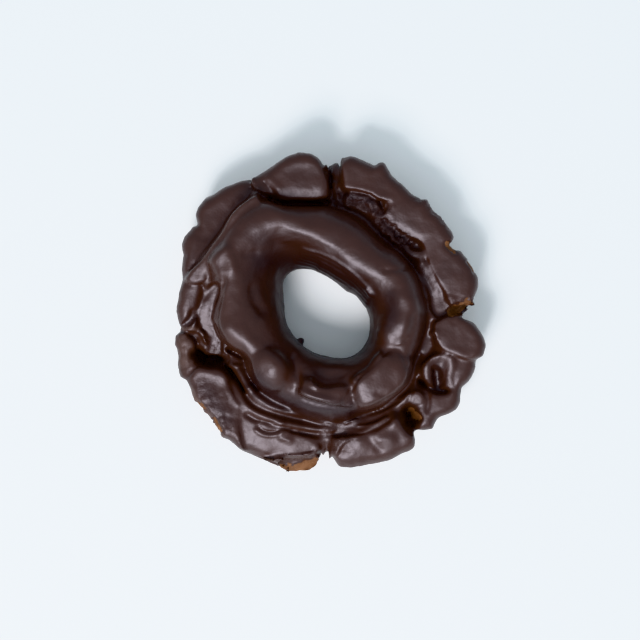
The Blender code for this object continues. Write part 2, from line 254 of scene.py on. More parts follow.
# %% The petals
PETALS = {
    "right_slab": (2.5, 31, 0, (35.8, 34.8, 34.8, 36), (46.5, 47.6, 45.5), 8, 19.9, 20.2, 6, 5),
    "right_slope": (-3, 42, 0, (31.4, 30.9, 29.6), (38, 38, 37), 8, 16.6, 18.9, 5, 3),
    "upper_right_slab": (29, 64, 0, (36, 34.6, 34.4, 34.6), (46, 45.6, 47), 8, 20.9, 20.6, 5, 4.2),
    "upper_slab": (58, 85, 0, (38.2, 38.4, 37.8), (46.5, 49.2, 48.5), 8, 21.2, 21.2, 6, 4.6),
    "upper_tear": (40, 88, 0, (28.8, 30.5, 33.5), (39, 41, 41), 8, 15.9, 18.9, 4, 3),
    "top_dome": (90, 121, 0, (34.2, 34.8, 37, 42.5), (47, 50, 49.6, 48), 15, 21.9, 20.9, 4.6, 3.6),
    "upper_left_flap": (119, 170, 0, (42.6, 41, 40.6, 45), (48, 52.2, 50.2, 46.5), 7, 16.3, 16.9, 5, 3.6),
    "left_bulge": (160, 189, 0, (39.5, 39, 39), (47, 47, 47), 7, 19.6, 17.9, 3, 2.6),
    "left_fold": (167, 197, 0, (34.8, 35, 35.2), (39, 40, 39.5), 8, 18.6, 18.6, 3, 2.4),
    "left_knob": (187, 207, 0, (41, 41.5, 43), (48.4, 49.8, 50), 8, 16.9, 16.9, 3.6, 3),
    "lower_left_slab": (201, 238, 0, (36.2, 36.2, 37, 37.8), (50, 49.6, 50.6), 7, 18.2, 17.3, 6, 3.8),
    "bottom_slab": (232, 267, 0, (37.6, 38.4, 38.8), (50.6, 50.6, 49), 7, 17.6, 16.3, 5, 3.6),
    "bottom_terrace": (206, 300, 0, (32, 34, 34.2, 34.2), (41, 41, 41), 4, 14.6, 15.9, 5, 3),
    "bottom_right_slab": (270.5, 306, 0, (37.5, 36.8, 35.4), (48, 49, 49.8), 8, 19.2, 17.9, 5, 3.2),
    "small_fold": (304, 322, 0, (33, 33.2), (40.5, 40.5), 8, 17.9, 16.6, 3, 2.6),
    "lower_right_slab": (306, 333, 0, (41.8, 37.5, 35.5), (48.8, 48.6, 49.4), 7, 17.6, 16.9, 5, 3.6),
    "folded_face": (324, 346, 0, (33, 33.2, 33.5), (48.5, 49.2, 48.5), 6, 18.2, 18.2, 4, 3),
    "right_knob": (339, 359, 0, (34, 33, 33.5), (49.4, 50.4, 46.5), 8, 20.9, 20.2, 4, 3.2),
}
# A small nub of dough low in the hole, in the same form.
NUB = (222, 232, 0, (11.4, 11, 11.6), (14, 14, 14), 3, 7.5, 7.5, 2.4, 2.4)
print("petals:", len(PETALS))

# %% [markdown]
# An icosphere is squared off as much as the real piece is, then bent round the ring between its
# two angles and its radii. A cube with bevelled edges would keep flat sides, which dough never has.

# %% Bend a rounded block round the ring
def slab(name, start, end, slant, inner, outer, underside, inner_top, outer_top, plan, edge):
    shape = bmesh.new()
    bmesh.ops.create_icosphere(shape, subdivisions=6, radius=MM)
    block = new_piece(name, shape)
    x, y, z = np.abs(read_points(block.data)).T
    squareness = ((x ** plan + y ** plan) ** (edge / plan) + z ** edge) ** (1 / edge)
    along, across, up = (read_points(block.data) / squareness[:, None]).T / 2 + 0.5
    turn = np.radians(start + along * ((end - start) % 360) + along * slant * (across - 0.5))
    near = np.interp(along, np.linspace(0, 1, len(inner)), inner)
    far = np.interp(along, np.linspace(0, 1, len(outer)), outer)
    top = inner_top + (outer_top - inner_top) * across
    height = underside + (top - underside) * up
    write_points(block.data, cartesian(turn, near + (far - near) * across, height))
    return block


blocks = [slab(name, *sizes) for name, sizes in {**KNUCKLES, **PETALS, "nub": NUB}.items()]
print("blocks:", len(blocks))

# %% [markdown]
# ## One skin of dough
# The rings and blocks cross each other. A Boolean union would leave sharp valleys, while real
# dough flows together, so the pieces are joined and remeshed with small voxels, and smoothed.
# Pockets sealed inside are dropped, because the crumb is solid there.

# %% Helpers for one skin
def take_shape(piece):
    depsgraph = bpy.context.evaluated_depsgraph_get()
    mesh = bpy.data.meshes.new_from_object(piece.evaluated_get(depsgraph))
    piece.modifiers.clear()
    before = piece.data
    piece.data = mesh
    bpy.data.meshes.remove(before)


def skin_over(piece, voxel, smoothing):
    skin = piece.modifiers.new("skin", "REMESH")
    skin.mode, skin.voxel_size = "VOXEL", voxel * MM
    soften = piece.modifiers.new("soften", "SMOOTH")
    soften.factor, soften.iterations = 0.5, smoothing
    take_shape(piece)


def drop_scraps(piece):
    """Keep only the skin with the most vertices."""
    shape = bmesh.new()
    shape.from_mesh(piece.data)
    unseen, skins = set(shape.verts), []
    while unseen:
        skin = {unseen.pop()}
        border = list(skin)
        while border:
            vert = border.pop()
            fresh = {link.other_vert(vert) for link in vert.link_edges} - skin
            skin |= fresh
            border.extend(fresh)
        unseen -= skin
        skins.append(skin)
    largest = max(skins, key=len)
    bmesh.ops.delete(shape, geom=[v for v in shape.verts if v not in largest], context="VERTS")
    shape.to_mesh(piece.data)
    shape.free()


# %% Join the rings and the blocks
DOUGH_VOXEL = 0.5
pieces = [inner_ring, skirt, bed, *blocks]
with bpy.context.temp_override(active_object=inner_ring, selected_editable_objects=pieces):
    bpy.ops.object.join()
dough = inner_ring
dough.name = "crust"
skin_over(dough, DOUGH_VOXEL, smoothing=4)
drop_scraps(dough)
print("dough:", len(dough.data.polygons), "faces")

# %% [markdown]
# ## Press the rim to its outline
# The rounded blocks stop a little short of the outline that the doughnut really has, so the rim
# is drawn in or out to it. Only the outermost part moves, and more the farther out it is. The
# outline goes clockwise from the top, in the photograph's pixels, as does all that is drawn later.

# %% The outline as the photograph shows it
PIXEL = 0.306
HUB_PIXEL = (328, 312)
EDGE = (
    (300, 153), (311, 154), (316, 157), (320, 160), (323, 167), (333, 163), (341, 160), (350, 156),
    (358, 158), (368, 163), (375, 166), (379, 163), (384, 163), (387, 168), (391, 175), (400, 183),
    (410, 193), (415, 197), (418, 198), (421, 201), (424, 199), (427, 200), (429, 205), (433, 212),
    (440, 217), (446, 225), (451, 232), (454, 239), (449, 244), (454, 248), (461, 252), (467, 259),
    (473, 267), (477, 277), (478, 285), (476, 292), (473, 299), (472, 306), (465, 313), (460, 318),
    (466, 319), (474, 323), (479, 330), (484, 338), (486, 346), (483, 356), (476, 360), (475, 369),
    (470, 380), (462, 388), (461, 401), (457, 409), (450, 414), (443, 416), (438, 419), (435, 425),
    (433, 430), (425, 431), (418, 430), (414, 433), (416, 440), (415, 447), (410, 451), (401, 455),
    (388, 461), (370, 465), (352, 468), (340, 467), (330, 461), (331, 454), (326, 451), (321, 455),
    (322, 461), (317, 467), (308, 472), (300, 473), (290, 473), (283, 471), (276, 466), (265, 462),
    (252, 456), (240, 450), (230, 441), (222, 438), (216, 428), (212, 420), (206, 414), (200, 408),
    (194, 400), (190, 388), (186, 380), (180, 377), (178, 367), (177, 352), (175, 345), (175, 335),
    (180, 331), (177, 318), (176, 310), (178, 298), (180, 288), (182, 280), (181, 268), (183, 255),
    (181, 244), (184, 236), (190, 230), (197, 226), (193, 225), (195, 214), (198, 206), (205, 198),
    (215, 193), (225, 186), (238, 181), (252, 179), (262, 173), (275, 165), (285, 158),
)
across, down = (np.array(EDGE, float) - HUB_PIXEL).T * PIXEL
edge_turns = np.degrees(np.arctan2(-down, across)) % 360
edge_reach = np.hypot(across, down)
edge = rail(sorted(zip(edge_turns, edge_reach)), soften=0.5)
print("outline from", round(edge_reach.min(), 1), "to", round(edge_reach.max(), 1), "mm from the hub")

# %% Press the rim
RIM_FROM = 36.0


def press_rim(mesh, steps, soften, power):
    points = read_points(mesh)
    turn, reach = polar(points)
    widest = np.zeros(steps)
    np.maximum.at(widest, np.round(np.degrees(turn) * steps / 360).astype(int) % steps, reach)
    found = rail([(step * 360 / steps, size) for step, size in enumerate(widest)], soften)(turn)
    share = np.clip((reach - RIM_FROM) / (found - RIM_FROM), 0, 1) ** power
    write_points(mesh, cartesian(turn, reach + (edge(turn) - found) * share, points[:, 2]))
    print("rim moved up to", round(float(np.abs((edge(turn) - found) * share).max()), 1), "mm")


press_rim(dough.data, steps=360, soften=1.5, power=1.5)

# %% [markdown]
# ## Drawing on the dough
# The petals' flat tops, the splits and the fine ridges follow no ring, so they are drawn on the
# dough as seen from above. A point's place in the photograph comes from the camera's height, and
# each drawn line is softened at its corners, as a torn edge is.

# %% Places in the photograph
PHOTO_PIXELS = 640
CAMERA_HEIGHT, MID_HEIGHT = 700.0, 16.0
LENS_OFFSET = ((PHOTO_PIXELS / 2 - HUB_PIXEL[0]) * PIXEL, (HUB_PIXEL[1] - PHOTO_PIXELS / 2) * PIXEL)
print("the picture is", round(PHOTO_PIXELS * PIXEL), "mm wide at mid height")


def seen_at(points):
    """Pixels at which the camera sees points given in millimetres from the hub."""
    spread = CAMERA_HEIGHT / (CAMERA_HEIGHT + MID_HEIGHT - points[:, 2]) / PIXEL
    x = PHOTO_PIXELS / 2 + (points[:, 0] - LENS_OFFSET[0]) * spread
    y = PHOTO_PIXELS / 2 - (points[:, 1] - LENS_OFFSET[1]) * spread
    return np.stack([x, y], 1)


# %% Drawn lines
def soften_line(line, closed=False):
    """Cut each corner twice, a quarter of the way along both its sides."""
    line = np.array(line, float)
    for _ in range(2):
        ahead = np.roll(line, -1, 0)
        cut = np.stack([line * 0.75 + ahead * 0.25, line * 0.25 + ahead * 0.75], 1).reshape(-1, line.shape[1])
        line = cut if closed else np.concatenate([line[:1], cut[:-2], line[-1:]])
    return line


def gap_to(pixels, line):
    """Distance in millimetres from each place to a drawn line."""
    nearest = np.full(len(pixels), np.inf)
    for start, end in zip(line[:-1], line[1:]):
        run = end - start
        along = np.clip((pixels - start) @ run / max(run @ run, 1e-9), 0, 1)
        nearest = np.minimum(nearest, np.hypot(*(pixels - start - along[:, None] * run).T))
    return nearest * PIXEL


def inside_of(pixels, corners):
    x, y = pixels.T
    inside = np.zeros(len(pixels), bool)
    for (x0, y0), (x1, y1) in zip(corners, np.roll(corners, -1, 0)):
        if y0 != y1:
            inside ^= ((y0 > y) != (y1 > y)) & (x < x0 + (x1 - x0) * (y - y0) / (y1 - y0))
    return inside


def near_to(pixels, line, margin):
    low, high = line[:, :2].min(0) - margin / PIXEL, line[:, :2].max(0) + margin / PIXEL
    return np.nonzero(((pixels > low) & (pixels < high)).all(1))[0]


# %% [markdown]
# ## Flat tops
# A plate lifts or lowers the dough inside its outline to a face that runs through the heights at
# its corners, and rounds the shoulder. Each line holds the shoulder's radius and the corners, in
# pixels, with the height there. Plates move only the upper side, so the undercuts keep their form.
# A band is laid like a plate, but only where it rises above the dough.

# %% The plates
PLATES = {
    "top_dome": (1.6, (
        (253, 176, 20.2), (266, 166, 21.4), (279, 154, 22.3), (300, 149, 22.6), (316, 152, 22.6),
        (324, 164, 22.3), (328, 176, 21.6), (330, 188, 20.8), (330, 200, 20.2), (312, 202, 20),
        (296, 202, 20), (282, 202, 20), (273, 197, 20), (265, 192, 19.9), (256, 188, 19.6),
    )),
    "upper_slab": (1.3, (
        (342, 180, 21.2), (340, 168, 21.2), (343, 154, 21.2), (358, 152, 21.2), (372, 160, 21.2),
        (388, 158, 21), (398, 174, 21), (414, 190, 20.8), (430, 195, 20.8), (440, 210, 20.6),
        (452, 222, 20.6), (459, 238, 20.4), (454, 246, 20.2), (460, 249, 20.2), (468, 252, 20),
        (478, 266, 19.9), (484, 280, 19.8), (481, 296, 19.6), (464, 300, 19.6), (452, 299, 19.4),
        (443, 293, 19.3), (437, 284, 19.5), (432, 274, 19.7), (427, 262, 19.8), (424, 254, 19.6),
        (421, 246, 19.2), (408, 241, 19.3), (398, 234, 19.6), (389, 227, 19.8), (380, 219, 20),
        (384, 210, 20.8), (392, 203, 21), (384, 202, 21), (376, 199, 21), (368, 194, 21.2),
        (356, 191, 21.2), (343, 191, 21.2),
    )),
    "right_slope": (0.5, (
        (420, 257, 19.7), (428, 263, 19.5), (434, 271, 19.3), (439, 280, 18.9), (444, 290, 18.3),
        (447, 298, 17.5), (449, 308, 17.1), (447, 315, 17), (438, 320, 16.8), (431, 314, 16.3),
        (429, 302, 16.4), (427, 291, 17), (422, 281, 17.8), (417, 272, 18.3), (413, 264, 18.8),
    )),
    "second_flap": (0.6, (
        (401, 245, 18.7), (410, 248, 19.4), (418, 249, 19.7), (428, 251, 19.7), (427, 261, 18.8),
        (416, 261, 18.3), (405, 256, 18.1),
    )),
    "torn_shelf": (0.6, (
        (344, 192, 20), (358, 192, 20.3), (370, 196, 20.4), (379, 203, 20.4), (383, 215, 20.4),
        (393, 229, 20), (407, 241, 19.6), (416, 247, 19.3), (404, 249, 18.5), (393, 243, 18.5),
        (382, 232, 18.7), (371, 220, 18.8), (358, 211, 18.8), (344, 206, 18.5),
    )),
    "right_knob": (0.45, (
        (431, 322, 21.2), (440, 318, 20.9), (456, 312, 20.5), (472, 314, 20.5), (484, 326, 20.6),
        (490, 343, 20.5), (488, 358, 20.4), (474, 361, 20.5), (462, 359, 20.5), (452, 353, 20.5),
        (443, 352, 20.5), (437, 347, 20.6), (433, 336, 21),
    )),
    "folded_face": (0.9, (
        (421, 364, 18.2), (429, 355, 19.8), (438, 352, 20.3), (448, 352, 20.4), (456, 358, 20),
        (456, 371, 18.8), (453, 382, 17.9), (449, 390, 16.9), (440, 391, 16.4), (434, 386, 16.9),
        (426, 385, 16.9), (421, 376, 17.3),
    )),
    "right_flap": (0.3, (
        (455, 357, 19.2), (476, 362, 18.8), (480, 372, 18.6), (474, 386, 18.2), (466, 396, 17.8),
        (464, 406, 17.6), (454, 416, 17.4), (442, 422, 17.2), (438, 435, 17), (418, 433, 17),
        (422, 415, 17.2), (427, 403, 17.6), (430, 393, 17.8), (441, 394, 17.8), (453, 391, 18),
        (456, 380, 18.4), (455, 368, 18.8),
    )),
    "small_lobe": (1, (
        (402, 400, 17.6), (405, 393, 18.2), (413, 389, 18.9), (421, 390, 19), (426, 397, 18.4),
        (424, 406, 17.2), (413, 407, 16.8), (404, 407, 16.6),
    )),
    "bottom_right_slab": (1.6, (
        (327, 466, 15), (336, 456, 16), (341, 447, 17.2), (350, 438, 18.2), (362, 435, 18.6),
        (374, 430, 18.9), (386, 424, 19.1), (396, 414, 19.1), (403, 424, 18.8), (410, 434, 18.4),
        (420, 438, 17.8), (420, 452, 16.6), (396, 462, 16), (374, 468, 15.4), (350, 471, 15),
    )),
    "bottom_slab": (1.4, (
        (230, 384, 17.7), (237, 398, 17.7), (243, 410, 17.8), (247, 424, 17.8), (248, 440, 17.5),
        (246, 458, 17.2), (232, 450, 17.8), (220, 443, 18.3), (210, 428, 18.7), (196, 412, 18.7),
        (188, 396, 18.3), (184, 384, 17.7), (192, 372, 18.1), (200, 366, 18.5), (214, 367, 18.5),
        (226, 370, 18.4),
    )),
    "bottom_slope": (0.8, (
        (238, 412, 17.9), (246, 411, 17.9), (256, 418, 17.8), (272, 424, 17.4), (288, 429, 17),
        (304, 435, 16.6), (322, 444, 16.2), (321, 452, 15.6), (304, 455, 15.3), (286, 456, 15),
        (272, 460, 14.2), (256, 459, 14.2), (244, 452, 14.8), (240, 440, 16), (238, 426, 17.2),
    )),
    "bottom_ledge": (1.4, (
        (281, 460, 12.2), (292, 459.5, 12.2), (306, 459.5, 12.2), (319, 458, 12.2), (324, 466, 11.2),
        (306, 474, 10.8), (290, 477, 10.8), (277, 472, 11.2),
    )),
    "left_knob": (1.2, (
        (171, 337, 17), (178, 331, 17.2), (189, 333, 17.4), (193, 344, 17.2), (194, 358, 17),
        (191, 370, 16.8), (187, 380, 16.4), (178, 382, 16.4), (173, 365, 16.8), (170, 348, 16.8),
    )),
    "left_bulge": (3.2, (
        (172, 292, 18.8), (182, 284, 19.4), (192, 279, 19.8), (201, 279, 19.8), (206, 286, 19.4),
        (204, 298, 18.7), (199, 310, 18), (195, 322, 17.2), (184, 330, 16.7), (173, 320, 17.3),
        (170, 305, 18.3),
    )),
    "gully": (1.6, (
        (209, 283, 19.9), (221, 283, 20.3), (219, 297, 18.8), (215, 307, 17.4), (212, 317, 16.3),
        (216, 327, 15.4), (221, 337, 14.4), (224, 346, 13.6), (222, 354, 12.8), (211, 353, 12.7),
        (206, 343, 13.7), (201, 332, 14.7), (196, 321, 15.6), (195, 311, 16.5), (201, 301, 17.6),
        (206, 293, 18.8),
    )),
    "upper_left_flap": (1.2, (
        (252, 174, 17.8), (238, 176, 17.6), (222, 182, 17.4), (208, 190, 17.2), (194, 202, 17),
        (188, 218, 17), (186, 228, 17), (178, 240, 17), (177, 256, 17), (176, 270, 17), (178, 284, 17.2),
        (186, 274, 17.4), (194, 265, 17.4), (204, 252, 17.4), (214, 240, 17.2), (222, 229, 16.8),
        (230, 217, 16.6), (239, 207, 16.6), (252, 197, 16.6),
    )),
}
BANDS = {
    "ring_edge": (0.8, (
        (259, 193, 25.2), (252, 198, 25.8), (245, 203, 26), (237, 210, 26), (231, 217, 26),
        (227, 224, 25.8), (223, 232, 25.8), (217, 239, 25.2), (211, 248, 24.2), (206, 255, 23.1),
        (200, 262, 21.9), (194, 268, 20.9), (189, 275, 20.1), (184, 283, 19.4), (201, 285, 19.4),
        (212, 275, 20.6), (221, 264, 23.8), (224, 252, 25.8), (232, 240, 26.8), (244, 228, 27.3),
        (254, 217, 27.4), (264, 207, 26.4),
    )),
}
print("plates:", len(PLATES), "and bands:", len(BANDS))

# %% Lay a plate
RIM_SHOULDER = 3.5
PLATE_MARGIN, PLATE_BLEND, CORNER_SOFTNESS = 1.0, 0.5, 2.0


def drop_at(gap, radius):
    """How far a rounded shoulder has fallen, at a distance from the edge."""
    return radius - np.sqrt(radius ** 2 - np.clip(radius - gap, 0, radius) ** 2)


def lay_plate(points, facing_up, shoulder, outline, only_raise=False):
    line = soften_line(outline, closed=True)
    pixels = seen_at(points)
    near = near_to(pixels, line, PLATE_MARGIN)
    near = near[inside_of(pixels[near], line[:, :2]) & facing_up[near]]
    gap = gap_to(pixels[near], np.concatenate([line, line[:1]])[:, :2])
    away = np.hypot(*(pixels[near][:, None] - line[None, :, :2]).transpose(2, 0, 1)) * PIXEL
    share = 1 / (away ** 2 + CORNER_SOFTNESS)
    height = (share * line[:, 2]).sum(1) / share.sum(1)
    turn, reach = polar(points[near])
    fall = np.maximum(drop_at(gap, shoulder), drop_at(edge(turn) - reach, RIM_SHOULDER))
    change = np.clip(gap / PLATE_BLEND, 0, 1) * (height - fall - points[near, 2])
    points[near, 2] += np.maximum(change, 0) if only_raise else change


# %% [markdown]
# ## Splits
# A cut drives a narrow line down, too deep to see into. Each line holds its half width, its depth
# and where it runs. A flat-bottomed section keeps the split's walls steep.

# %% The cuts
CUTS = {
    "under_top_dome": (0.45, 6, (
        (268, 197), (273, 201), (281, 204), (300, 204.5), (318, 204.5), (328, 203),
    )),
    "beside_top_dome": (0.7, 6, ((327, 170), (330, 178), (331, 186))),
    "ring_crack_upper_right": (0.5, 2, (
        (334, 206), (346, 211), (358, 218), (370, 228), (381, 239), (392, 247), (403, 255), (411, 263),
        (417, 273), (421, 287), (424, 298),
    )),
    "ring_crack_lower_right": (1.2, 1.6, (
        (418, 356), (414, 368), (411, 380), (404, 390), (394, 398), (382, 405), (368, 411), (352, 416),
    )),
    "left_pit": (1.5, 8, ((197, 354), (202, 360), (209, 362), (217, 361))),
    "left_recess": (0.6, 2.5, ((190, 335), (196, 340), (198, 349))),
    "ring_crack_left": (0.6, 1.2, ((223, 283), (221, 296), (217, 310), (216, 324), (222, 338), (229, 350))),
    "ring_crack_lower_left": (0.8, 2, (
        (229, 350), (238, 354), (246, 358), (249, 368), (252, 380), (258, 389),
    )),
    "shard_crack": (0.7, 6, ((227, 366), (232, 374), (238, 383), (243, 391))),
    "face_pit": (1.2, 2.6, ((434, 371), (436, 378), (438, 386))),
    "lobe_pit": (1.7, 6, ((408, 412), (413, 417), (411, 422))),
    "fold_shadow": (0.7, 2.5, ((420, 380), (427, 387), (437, 392), (446, 391))),
    "bottom_split": (0.5, 3, ((284, 458), (296, 459), (308, 458), (319, 455))),
}
CUT_STEEPNESS = 6


def make_cut(points, facing_up, half_width, depth, line):
    line = soften_line(line)
    pixels = seen_at(points)
    near = near_to(pixels, line, 3 * half_width)
    near = near[facing_up[near]]
    gap = gap_to(pixels[near], line)
    points[near, 2] -= depth / (1 + (gap / half_width) ** CUT_STEEPNESS)


# %% Lay the plates, make the cuts and skin the dough again
TOP_FROM, LEAST_TILT = 9.0, 0.05
FINE_VOXEL = 0.56
points, normals = read_points(dough.data), read_normals(dough.data)
facing_up = (points[:, 2] > TOP_FROM) & (normals[:, 2] > LEAST_TILT)
for shoulder, outline in PLATES.values():
    lay_plate(points, facing_up, shoulder, outline)
for shoulder, outline in BANDS.values():
    lay_plate(points, facing_up, shoulder, outline, only_raise=True)
for half_width, depth, line in CUTS.values():
    make_cut(points, facing_up, half_width, depth, line)
write_points(dough.data, points)
skin_over(dough, FINE_VOXEL, smoothing=2)
drop_scraps(dough)
print("dough with plates and cuts:", len(dough.data.polygons), "faces")

# %% [markdown]
# ## Ridges and creases
# The finest relief is drawn as strokes, each moving the skin along its normal, with a rounded
# section. Each line holds the height, with a minus for a crease, the width and where it runs.

# %% The strokes
# The thin raised edge where the ring has lifted from the flap at the upper left.
RING_EDGE = (
    (257, 194), (245, 203), (237, 210), (231, 217), (227, 224), (223, 232), (217, 239), (211, 248),
    (206, 255), (200, 262), (194, 268), (189, 275), (184, 283),
)
STROKES = {
    "crest_left": (0.3, 2.6, ((256, 228), (264, 226), (274, 221), (284, 220), (299, 227), (312, 231))),
    "crest_line": (0.12, 0.9, ((274, 228), (283, 225), (294, 230), (310, 235), (322, 240), (334, 247))),
    "crest_right": (0.2, 3, ((354, 246), (364, 254), (377, 263), (390, 271), (400, 277))),
    "crest_right_low": (0.8, 3, ((404, 286), (407, 297), (409, 312))),
    "crest_step": (-0.4, 0.8, ((386, 270), (397, 270), (408, 268), (416, 262))),
    "ring_outer_band": (-0.5, 2, ((332, 212), (346, 216), (360, 226), (374, 240), (386, 250))),
    "ring_edge_line": (0.45, 0.7, RING_EDGE),
    "flap_rib_1": (0.3, 0.9, ((204, 243), (197, 256), (189, 270))),
    "flap_rib_2": (0.25, 0.8, ((197, 240), (191, 254), (186, 266))),
    "dome_lip": (0.55, 3, ((282, 187), (300, 186), (318, 187))),
    "dome_facet": (0.35, 0.9, ((268, 178), (274, 183), (278, 188))),
    "dome_facet_line": (-0.35, 0.6, ((264, 183), (270, 189), (276, 196))),
    "dome_corner": (0.3, 0.8, ((258, 186), (265, 187))),
    "crest_hollow": (-0.7, 2.2, ((276, 244), (288, 248), (298, 252))),
    "ring_shoulder_1": (1.2, 1.7, ((214, 261), (220, 254), (226, 250))),
    "ring_shoulder_2": (0.7, 1.8, ((230, 259), (233, 268))),
    "ring_left_dimple": (-0.5, 1.3, ((246, 254), (255, 253))),
    "ring_left_hollow": (-0.7, 1.8, ((252, 290), (256, 302), (262, 310))),
    "shoulder_underside": (-0.8, 1.5, ((210, 276), (215, 280), (222, 279))),
    "bulge_top": (0.3, 1.8, ((200, 281), (205, 281))),
    "bulge_groove": (-0.4, 1.2, ((213, 286), (209, 292), (206, 296))),
    "bulge_fold": (-0.8, 1, ((193, 312), (190, 320), (184, 325))),
    "left_ring_lower_edge": (0.6, 2.8, ((231, 328), (242, 338), (253, 345), (264, 351))),
    "lower_left_knuckle_top": (0.9, 3.4, ((273, 361), (275, 364))),
    "shard": (0.8, 1, ((232, 363), (239, 370), (244, 379), (249, 388))),
    "shard_top": (0.5, 0.6, ((227, 363), (233, 366), (240, 366))),
    "lower_left_ridge_2": (0.5, 0.8, (
        (249, 388), (254, 394), (261, 400), (268, 405), (277, 409), (290, 412), (302, 415), (316, 419),
        (330, 424),
    )),
    "lower_left_groove": (-0.9, 0.9, (
        (246, 396), (252, 404), (262, 410), (275, 414), (290, 418), (304, 421), (320, 426),
    )),
    "lower_left_ridge_1": (0.8, 1.1, (
        (235, 382), (239, 393), (244, 402), (250, 409), (258, 413), (270, 418), (284, 423), (299, 426),
        (316, 428), (332, 429),
    )),
    "lower_left_ridge_0": (0.5, 0.6, ((230, 392), (233, 399), (238, 405))),
    "under_ridge": (-0.9, 0.7, ((247, 415), (255, 420), (266, 423), (284, 428), (302, 433), (318, 435))),
    "shell_1": (0.5, 0.5, ((261, 422), (267, 425), (275, 425), (283, 423))),
    "shell_2": (-0.6, 0.5, ((258, 426), (263, 431), (272, 433), (280, 430))),
    "shell_3": (0.5, 0.6, ((256, 430), (263, 435), (273, 436), (282, 432))),
    "shell_swell_1": (0.7, 1.1, ((280, 428), (287, 431))),
    "shell_swell_2": (0.7, 1.1, ((281, 437), (289, 440))),
    "bottom_slab_roll": (-0.8, 3, ((244, 462), (262, 466), (280, 464))),
    "bottom_ridge": (0.25, 0.6, ((298, 433), (310, 438), (322, 442))),
    "bottom_step": (-0.3, 0.6, ((286, 455), (298, 454), (312, 450))),
    "bottom_knuckle_start": (-1.3, 1.5, ((293, 357), (297, 366), (298, 377), (296, 388))),
    "bottom_knuckle_edge": (1, 0.95, (
        (302, 391), (309, 395), (319, 397.5), (328, 400), (336, 402.5), (350, 403.5),
    )),
    "bottom_knuckle_crease": (-0.5, 0.8, ((304, 398), (318, 403), (334, 407))),
    "bottom_knuckle_curl": (0.7, 0.6, ((311, 380), (311, 385), (317, 388))),
    "bottom_knuckle_hollow": (-0.9, 2, ((320, 373), (330, 376), (340, 374))),
    "lower_right_knuckle_start": (-0.45, 0.6, ((358, 377), (354, 385), (350, 393), (343, 400))),
    "lower_right_knuckle_side": (-0.5, 1.1, ((384, 352), (378, 361), (368, 370), (357, 377))),
    "right_knuckle_start": (-0.45, 0.9, ((384, 353), (391, 348), (399, 349), (404, 356), (407, 366))),
    "right_knuckle_curl": (0.35, 0.5, ((399, 344), (404, 341), (408, 337))),
    "right_knuckle_top": (1.6, 3.8, ((391, 322), (403, 325))),
    "crest_bend": (0.7, 2.6, ((402, 299), (411, 301))),
    "lower_right_dimple": (-0.35, 1.1, ((378, 394), (384, 395))),
    "right_knuckle_back": (-0.5, 1.2, ((406, 340), (412, 328), (413, 316))),
    "upper_slab_edge": (0.2, 1.1, ((344, 188), (356, 188), (367, 191), (375, 197), (390, 199))),
    "upper_slab_roll": (-0.9, 2.1, ((383, 222), (394, 230), (406, 239), (416, 244))),
    "tear_glints": (0.8, 0.8, ((384, 230), (391, 236), (398, 243))),
    "recess_blade": (0.8, 0.6, ((334, 184), (336, 192), (338, 199))),
    "slope_bump_1": (0.25, 1.3, ((421, 259), (427, 266))),
    "slope_bump_2": (0.3, 1.4, ((426, 271), (431, 277))),
    "slope_bump_3": (0.3, 1.4, ((436, 284), (438, 289))),
    "glint_on_wall": (0.8, 0.8, ((368, 288), (372, 294))),
    "face_blob": (0.8, 1.7, ((427, 367), (429, 371))),
    "face_shard": (0.3, 1.5, ((452, 359), (450, 369), (448, 381))),
    "face_hollow": (-0.9, 2.1, ((440, 365), (440, 381))),
    "face_foot": (0.3, 0.9, ((428, 378), (434, 382), (440, 381))),
    "knob_glint": (0.6, 0.6, ((431, 333), (436, 332))),
    "knob_hollow": (-0.25, 1.4, ((438, 346), (442, 350))),
    "lobe_side": (-0.5, 0.7, ((427, 392), (429, 401), (427, 410))),
    "lobe_fold": (-0.4, 0.6, ((412, 392), (409, 398), (408, 404))),
    "bottom_right_swell_1": (0.5, 1.5, ((393, 414), (395, 424))),
    "bottom_right_swell_2": (0.5, 1.8, ((380, 440), (390, 439))),
    "bottom_right_swell_3": (0.3, 1.7, ((352, 438), (360, 444))),
    "bottom_right_swell_4": (0.25, 1.3, ((348, 448), (352, 452))),
    "bottom_right_crease": (-0.4, 1.3, ((368, 436), (374, 444), (380, 450))),
    "wrinkle_1": (0.5, 0.5, ((346, 423), (351, 421), (357, 420))),
    "wrinkle_2": (-0.8, 0.7, ((334, 434), (348, 434), (362, 433), (376, 428), (388, 420))),
    "wrinkle_3": (0.5, 0.5, ((358, 426), (368, 426), (378, 423), (386, 418))),
    "wrinkle_4": (-0.5, 0.5, ((352, 414), (368, 414), (384, 409), (398, 401))),
    "bottom_right_notch": (-0.25, 0.9, ((333, 446), (341, 448), (349, 450))),
    "wrinkle_5": (0.7, 1.4, ((334, 420), (344, 421), (352, 419))),
    "ring_foot": (-0.5, 0.8, ((262, 394), (276, 403), (290, 408))),
    "wall_swell": (0.8, 1.7, ((323, 266), (333, 271), (341, 278), (348, 287))),
    "end_face_band": (0.45, 1.6, ((198, 369), (212, 373), (226, 378))),
    "bulge_foot": (0.5, 0.6, ((180, 330), (190, 329), (200, 331), (208, 338))),
    "knob_inner_edge": (0.35, 0.6, ((190, 336), (193, 346), (194, 358), (191, 368))),
}
# The stretch marks on the wall of the hole lie side by side: the first, and the step to the next.
STRETCH_LINE = ((302, 249), (318, 252), (334, 259), (350, 270), (362, 281), (372, 292))
STRETCH_STEP = (-1.2, 2.8)
STRETCH_MARKS, STRETCH_HEIGHT, STRETCH_WIDTH = 6, 0.4, 0.45
print("drawn strokes:", len(STROKES), "and stretch marks:", STRETCH_MARKS)

# %% [markdown]
# Smoothing blunts the petals' points a little, so the rim is pressed once more, by its outermost
# part alone.

